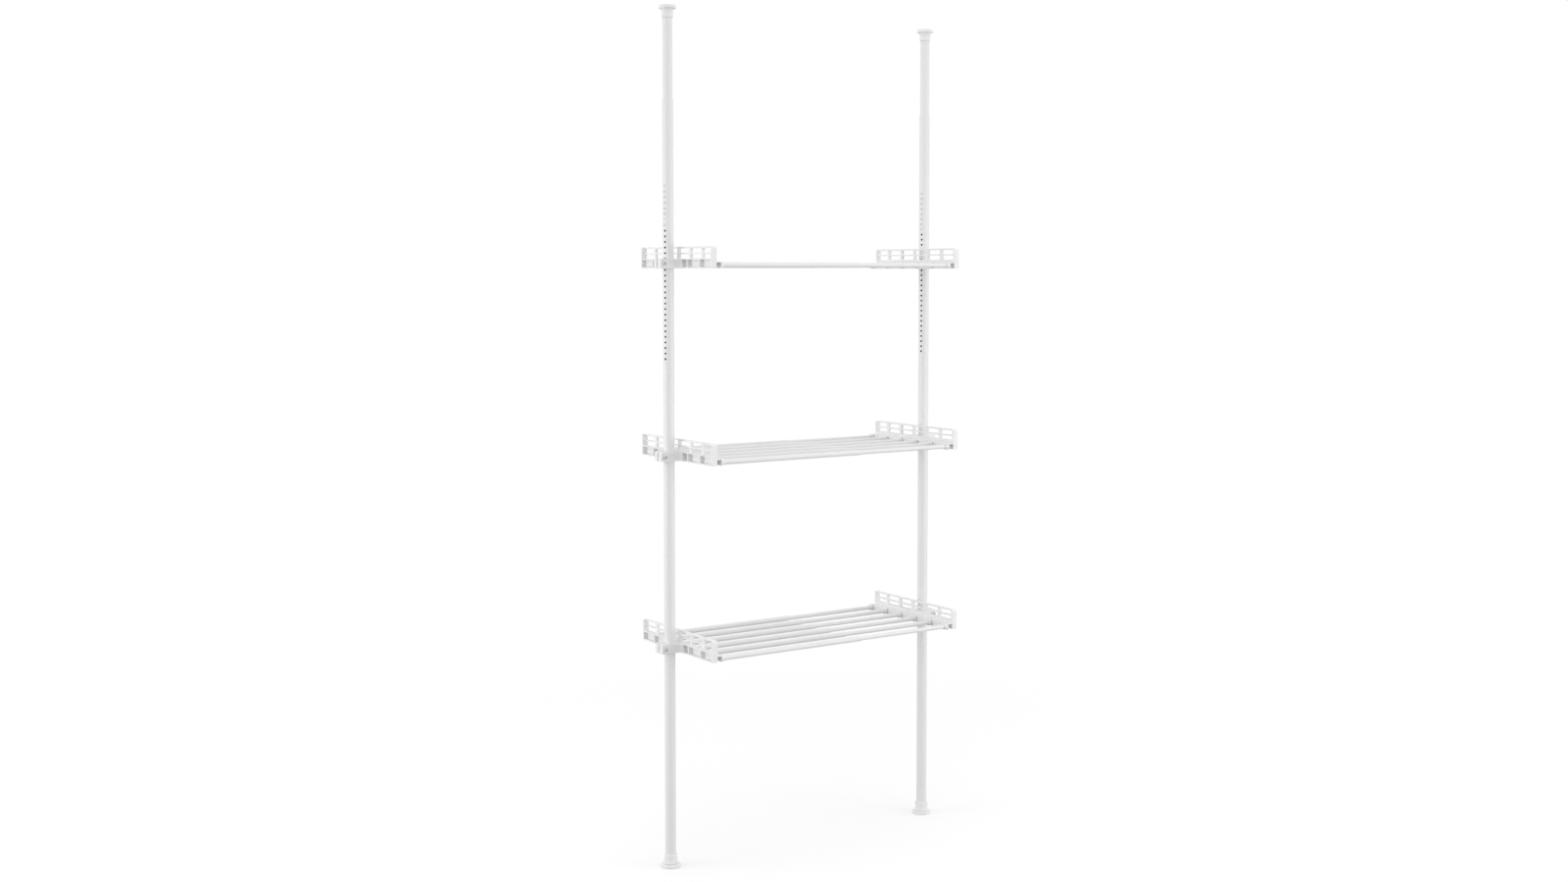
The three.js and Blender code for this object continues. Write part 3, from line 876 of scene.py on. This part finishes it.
def raised(outline, low, high, rounding):
    """An outline in X and Y raised from low to high, with its rims rounded."""
    bm = bmesh.new()
    base = [bm.verts.new((x, y, low)) for x, y in outline]
    top = [bm.verts.new((x, y, high)) for x, y in outline]
    strip_between(bm, base, top)
    bm.faces.new(base)
    bm.faces.new(top)
    bmesh.ops.recalc_face_normals(bm, faces=bm.faces)
    rims = [edge for edge in bm.edges if edge.verts[0].co.z == edge.verts[1].co.z]
    round_edges(bm, rims, rounding, CLAMP_ROUNDING_STEPS)
    return bm


def held(bm):
    """A mesh in millimetres as an object of its own while it is cut or joined."""
    mesh = bpy.data.meshes.new("held")
    bm.to_mesh(mesh)
    bm.free()
    spare = bpy.data.objects.new("held", mesh)
    bpy.context.scene.collection.objects.link(spare)
    return spare


def cut(target, bm, operation):
    """Joins a mesh to the held target, cuts it out, or keeps what both share."""
    tool = held(bm)
    modifier = target.modifiers.new("cut", "BOOLEAN")
    modifier.object = tool
    modifier.operation = operation
    modifier.solver = "MANIFOLD"
    evaluated = target.evaluated_get(bpy.context.evaluated_depsgraph_get())
    result = bpy.data.meshes.new_from_object(evaluated)
    target.modifiers.clear()
    target.data = result
    bpy.data.objects.remove(tool)


def released(target):
    """The held target's mesh, rid of the hair-thin faces that cuts leave."""
    bm = bmesh.new()
    bm.from_mesh(target.data)
    bpy.data.objects.remove(target)
    bmesh.ops.remove_doubles(bm, verts=bm.verts, dist=HAIR / 20)
    bmesh.ops.dissolve_degenerate(bm, edges=bm.edges, dist=HAIR / 20)
    return bm


def rod(radius, start, end, sides, axis, spot, rounding=0):
    """A rod through a spot, along X or, for Y, from the back to the front, its far end rounded."""
    bm = turned([(0, start, 0), (radius, start, 0), (radius, end, rounding), (0, end, 0)], sides=sides)
    if axis == "X":
        rotated(bm, FULL_TURN / 4, "Y")
    else:
        rotated(bm, FULL_TURN / 4, "X")
    bmesh.ops.translate(bm, verts=bm.verts, vec=spot)
    return bm


def pole_clamp():
    """The split ring with the bolt's seat on its front ear and the nut's pocket in its rear ear."""
    clamp = held(raised(clamp_outline(), HAIR, BAND_HEIGHT - HAIR, CLAMP_ROUNDING))
    bolt_axis = (BOLT_X, 0, BOLT_Z)
    outside = SEAT_FRONT + OVERRUN
    root = CLAMP_HALF - OVERRUN
    seat = rod(SEAT_RADIUS, root, SEAT_FRONT, ROUND_SIDES, "Y", bolt_axis, SEAT_ROUNDING)
    cut(clamp, seat, "UNION")
    bolt_hole = rod(SHANK_RADIUS + GAP, -outside, outside, PIN_SIDES, "Y", bolt_axis)
    cut(clamp, bolt_hole, "DIFFERENCE")
    nut_pocket = rod(NUT_RADIUS + GAP, -outside, NUT_DEPTH - CLAMP_HALF, HEXAGON, "Y", bolt_axis)
    cut(clamp, nut_pocket, "DIFFERENCE")
    return released(clamp)


def tube_collar(tube_radius):
    """The cup that a tube sits in with the spigot that it is pushed on, turned about Z."""
    root = RAIL_START + HAIR
    rim = COLLAR_RADIUS - HAIR / 4
    spigot = tube_radius - TUBE_WALL - GAP
    return turned([
        (0, root, 0),
        (rim, root, FINE_ROUNDING),
        (rim, COLLAR_END, SOFT_ROUNDING),
        (tube_radius + GAP, COLLAR_END, FINE_ROUNDING),
        (tube_radius + GAP, SOCKET_FLOOR, CRISP_ROUNDING),
        (spigot, SOCKET_FLOOR, CRISP_ROUNDING),
        (spigot, SPIGOT_END, SPIGOT_ROUNDING),
        (0, SPIGOT_END, 0),
    ], sides=ROUND_SIDES, steps=3)


def end_frame(tube_radius):
    """The whole moulding of a left end, for tubes of that radius."""
    body = held(panel())
    cut(body, pole_clamp(), "UNION")
    above = BAND_HEIGHT + OVERRUN
    bore = turned([(0, -OVERRUN, 0), (CLAMP_BORE, -OVERRUN, 0), (CLAMP_BORE, above, 0), (0, above, 0)])
    cut(body, bore, "DIFFERENCE")
    for index in range(TUBE_COUNT):
        axis = (0, -TUBE_REACH + index * TUBE_PITCH, TUBE_AXIS)
        hollow = rod(COLLAR_RADIUS - COLLAR_LAP, SOCKET_FLOOR - HAIR, COLLAR_END + OVERRUN,
                     ROUND_SIDES, "X", axis)
        cut(body, hollow, "DIFFERENCE")
        collar = rotated(tube_collar(tube_radius), FULL_TURN / 4, "Y")
        bmesh.ops.translate(collar, verts=collar.verts, vec=axis)
        cut(body, collar, "UNION")
    return released(body)


for side, sign in SIDES.items():
    moulding = end_frame(TUBE_RADII[side])
    if side == "right":
        bmesh.ops.scale(moulding, verts=moulding.verts, vec=(-1, 1, 1))
        bmesh.ops.reverse_faces(moulding, faces=moulding.faces)
    frame_mesh = finished(f"{side} end frame", moulding, plastic)
    for shelf, height in SHELF_HEIGHTS.items():
        spot = (sign * POLE_REACH, 0, height)
        place(f"{shelf}_{side}_frame_look", frame_mesh, spot, f"{shelf}_{side}", "white_plastic",
              f"{shelf}_{side}_frame")

# Shelf tubes
# Six pairs of powder-coated steel tubes carry each shelf. The outer tubes sit in the left frame's
# collars, and the thinner inner tubes, from the right frame, slide in them to set the width.

TUBE_START = low_edge(FRONT_TUBES["left"], "x") + POLE_REACH
TUBE_END = high_edge(FRONT_TUBES["left"], "x") + POLE_REACH
TUBE_END_ROUNDING = 0.45
TUBE_SIDES = 40
KINDS = {"left": "outer", "right": "inner"}


def shelf_tube(radius):
    """A tube about Z with eased ends, white outside and bare inside."""
    bore = radius - TUBE_WALL
    bm = turned([
        (bore, TUBE_START, CRISP_ROUNDING),
        (radius, TUBE_START, CRISP_ROUNDING),
        (radius, TUBE_END, TUBE_END_ROUNDING),
        (bore, TUBE_END, CRISP_ROUNDING),
    ], sides=TUBE_SIDES, closed=True, steps=3)
    for face in bm.faces:
        if face.calc_center_median().xy.length < bore + HAIR / 2:
            face.material_index = INSIDE
    return bm


for side, sign in SIDES.items():
    kind = KINDS[side]
    tube = rotated(shelf_tube(TUBE_RADII[side]), -sign * FULL_TURN / 4, "Y")
    tube_mesh = finished(f"{kind} shelf tube", tube, coat, bare)
    for shelf, height in SHELF_HEIGHTS.items():
        for index in range(TUBE_COUNT):
            spot = (sign * POLE_REACH, -TUBE_REACH + index * TUBE_PITCH, height + TUBE_AXIS)
            place(f"{shelf}_{kind}_tube_{index + 1}_look", tube_mesh, spot, f"{shelf}_{side}",
                  "painted_steel", f"{shelf}_{kind}_tube_{index + 1}")

# Clamp bolts
# A zinc-plated socket-head bolt goes through the two ears of each clamp from the front, its head
# on the round seat of the front ear, and draws them together on the pole.

HEAD_RADIUS = 5
HEAD_LENGTH = 6
HEAD_CHAMFER = 0.6
SOCKET_RADIUS = 2.9
SOCKET_DEPTH = 3
BOLT_LEAD = 1
BOLT_THREAD_DEPTH = 0.45
BOLT_THREAD_SIDES = 24
BOLT_THREAD_ROWS = 6


def clamp_bolt():
    """The bolt about Z, its head up: a chamfered head with a hexagon socket, and a threaded shank."""
    back = SEAT_FRONT + GAP
    front = back + HEAD_LENGTH
    head = held(turned([
        (0, back, 0),
        (HEAD_RADIUS, back, CRISP_ROUNDING),
        (HEAD_RADIUS, front, HEAD_CHAMFER),
        (0, front, 0),
    ], sides=ROUND_SIDES))
    socket = turned([
        (0, front - SOCKET_DEPTH, 0),
        (SOCKET_RADIUS, front - SOCKET_DEPTH, 0),
        (SOCKET_RADIUS, front + OVERRUN, 0),
        (0, front + OVERRUN, 0),
    ], sides=HEXAGON)
    cut(head, socket, "DIFFERENCE")
    shank = threaded(SHANK_RADIUS, BOLT_THREAD_DEPTH, BOLT_LEAD, GAP - CLAMP_HALF, back + GAP,
                     BOLT_THREAD_SIDES, BOLT_THREAD_ROWS)
    return joined(released(head), shank)


bolt_mesh = finished("clamp bolt", rotated(clamp_bolt(), FULL_TURN / 4, "X"), zinc)
for side, sign in SIDES.items():
    for shelf, height in SHELF_HEIGHTS.items():
        spot = (sign * (POLE_REACH - BOLT_X), 0, height + BOLT_Z)
        place(f"{shelf}_{side}_bolt_look", bolt_mesh, spot, f"{shelf}_{side}_screw", "zinc_steel",
              f"{shelf}_{side}_bolt")

# Clamp nuts
# A hexagon nut of zinc-plated steel sits in the pocket of each rear ear, which keeps it from
# turning. Its corners are turned off and its bore is eased.

NUT_LENGTH = 5
NUT_CHAMFER = 0.45
NUT_PLAY = 0.05
NUT_BORE = SHANK_RADIUS + NUT_PLAY


def clamp_nut():
    """The nut about Z: a six-sided ring, kept where a turned lens with chamfered rims also is."""
    nut = held(turned([
        (NUT_BORE, 0, FINE_ROUNDING),
        (NUT_RADIUS, 0, 0),
        (NUT_RADIUS, NUT_LENGTH, 0),
        (NUT_BORE, NUT_LENGTH, FINE_ROUNDING),
    ], sides=HEXAGON, closed=True))
    lens = turned([
        (0, 0, 0),
        (NUT_RADIUS - NUT_CHAMFER, 0, 0),
        (NUT_RADIUS, NUT_CHAMFER, 0),
        (NUT_RADIUS, NUT_LENGTH - NUT_CHAMFER, 0),
        (NUT_RADIUS - NUT_CHAMFER, NUT_LENGTH, 0),
        (0, NUT_LENGTH, 0),
    ], sides=ROUND_SIDES)
    cut(nut, lens, "INTERSECT")
    return released(nut)


nut_mesh = finished("clamp nut", rotated(clamp_nut(), -FULL_TURN / 4, "X"), zinc)
for side, sign in SIDES.items():
    for shelf, height in SHELF_HEIGHTS.items():
        spot = (sign * (POLE_REACH - BOLT_X), CLAMP_HALF - NUT_DEPTH + GAP, height + BOLT_Z)
        place(f"{shelf}_{side}_nut", nut_mesh, spot, f"{shelf}_{side}", "zinc_steel")

# Floor
# The unit stands alone on a white floor, which keeps the soft shadow near the feet and fades
# to plain white further out, so that no horizon shows.

# The floor, the lamps and the camera are placed in metres.
FLOOR_RADIUS = 14
SHADOW_REACH = 0.9
PLAIN_REACH = 2.6
MATT_FLOOR = (0.42, 0.42, 0.42, 1)
SEEN_FLOOR = (0.8, 0.8, 0.8, 1)
FLOOR_GLOW = 0.14


def background_ray(tree):
    """Whether a ray shows the background: straight to the camera, or in gloss or glass."""
    path = node(tree, "LightPath")
    shown = path.outputs["Is Camera Ray"]
    for kind in ("Is Glossy Ray", "Is Transmission Ray"):
        either = node(tree, "Math", operation="MAXIMUM")
        tree.links.new(shown, either.inputs[0])
        tree.links.new(path.outputs[kind], either.inputs[1])
        shown = either.outputs[0]
    return shown


def white_floor():
    """The camera sees the lit floor near the unit and plain white beyond; light sees a matt white."""
    material = bpy.data.materials.new("white floor")
    material.use_nodes = True
    tree = material.node_tree
    tree.nodes.clear()
    matt = node(tree, "BsdfDiffuse", Color=MATT_FLOOR)
    lit = node(tree, "BsdfDiffuse", Color=SEEN_FLOOR)
    glow = node(tree, "Emission", Strength=FLOOR_GLOW)
    plain = node(tree, "Emission", Strength=1)
    near = node(tree, "AddShader")
    where = node(tree, "TexCoord")
    away = node(tree, "VectorMath", operation="LENGTH")
    fade = node(tree, "MapRange", From_Min=SHADOW_REACH, From_Max=PLAIN_REACH)
    seen = node(tree, "MixShader")
    either = node(tree, "MixShader")
    out = node(tree, "OutputMaterial")
    tree.links.new(lit.outputs[0], near.inputs[0])
    tree.links.new(glow.outputs[0], near.inputs[1])
    tree.links.new(where.outputs["Object"], away.inputs[0])
    tree.links.new(away.outputs["Value"], fade.inputs["Value"])
    tree.links.new(fade.outputs["Result"], seen.inputs[0])
    tree.links.new(near.outputs[0], seen.inputs[1])
    tree.links.new(plain.outputs[0], seen.inputs[2])
    tree.links.new(background_ray(tree), either.inputs[0])
    tree.links.new(matt.outputs[0], either.inputs[1])
    tree.links.new(seen.outputs[0], either.inputs[2])
    tree.links.new(either.outputs[0], out.inputs["Surface"])
    return material


ground = bmesh.new()
bmesh.ops.create_circle(ground, cap_ends=True, radius=FLOOR_RADIUS, segments=BROAD_SIDES)
floor_mesh = bpy.data.meshes.new("floor")
ground.to_mesh(floor_mesh)
ground.free()
floor_mesh.materials.append(white_floor())
floor = bpy.data.objects.new("floor", floor_mesh)
bpy.context.scene.collection.objects.link(floor)

# Light
# An all-white room with broad soft lamps: one overhead, one on each side of the camera's line of
# sight, so that the round poles are a little darker down their middle, and a weak low one in front.

ROOM_LIGHT = 0.93
OVERHEAD_PLACE = (0, -0.6, 5.2)
OVERHEAD_SIZE = (4.5, 3.0)
OVERHEAD_POWER = 24
# Each standing lamp's bearing in degrees, its height in metres and its power in watts.
STANDING_LAMPS = {
    "left lamp": (161, 1.2, 64),
    "right lamp": (311, 0.9, 54),
    "front lamp": (276, 0.4, 28),
}
LAMP_DISTANCE = 4.6
LAMP_SIZE = (3.0, 2.4)
AIM = (0, 0, 1.2)


def white_room():
    """A world that lights softly and shows plain white to the camera and in reflections."""
    world = bpy.data.worlds.new("white room")
    world.use_nodes = True
    tree = world.node_tree
    tree.nodes.clear()
    room = node(tree, "Background", Color=(1, 1, 1, 1), Strength=ROOM_LIGHT)
    white = node(tree, "Background", Color=(1, 1, 1, 1), Strength=1)
    choose = node(tree, "MixShader")
    out = node(tree, "OutputWorld")
    tree.links.new(background_ray(tree), choose.inputs[0])
    tree.links.new(room.outputs[0], choose.inputs[1])
    tree.links.new(white.outputs[0], choose.inputs[2])
    tree.links.new(choose.outputs[0], out.inputs["Surface"])
    return world


def soft_lamp(name, spot, size, power):
    """A broad soft lamp at a spot in metres, aimed at the middle of the unit."""
    lamp = bpy.data.lights.new(name, "AREA")
    lamp.shape = "RECTANGLE"
    lamp.size, lamp.size_y = size
    lamp.energy = power
    stand = bpy.data.objects.new(name, lamp)
    bpy.context.scene.collection.objects.link(stand)
    stand.location = spot
    stand.rotation_euler = (Vector(AIM) - Vector(spot)).to_track_quat("-Z", "Y").to_euler()


bpy.context.scene.world = white_room()
soft_lamp("overhead lamp", OVERHEAD_PLACE, OVERHEAD_SIZE, OVERHEAD_POWER)
for name, (bearing, height, power) in STANDING_LAMPS.items():
    angle = math.radians(bearing)
    spot = (LAMP_DISTANCE * math.cos(angle), LAMP_DISTANCE * math.sin(angle), height)
    soft_lamp(name, spot, LAMP_SIZE, power)

# Camera
# The camera's place, turn and focal length come from the photograph's own points: the ends and
# joints of the poles and the corners of the end frames. Sizes in pixels are for a 1600 px image.

IMAGE_WIDTH = 1600
SENSOR_WIDTH = 36
FOCAL_PIXELS = 1827.8
SHIFT_PIXELS = -55
CAMERA_PLACE = (-3.0757, -4.4656, 1.7402)
CAMERA_PITCH = 86.335
CAMERA_YAW = -33.975

camera_data = bpy.data.cameras.new("camera")
camera_data.sensor_width = SENSOR_WIDTH
camera_data.lens = FOCAL_PIXELS * SENSOR_WIDTH / IMAGE_WIDTH
camera_data.shift_y = SHIFT_PIXELS / IMAGE_WIDTH
camera = bpy.data.objects.new("camera", camera_data)
bpy.context.scene.collection.objects.link(camera)
camera.location = CAMERA_PLACE
camera.rotation_euler = (math.radians(CAMERA_PITCH), 0, math.radians(CAMERA_YAW))
bpy.context.scene.camera = camera
bpy.context.scene.view_settings.view_transform = "Standard"
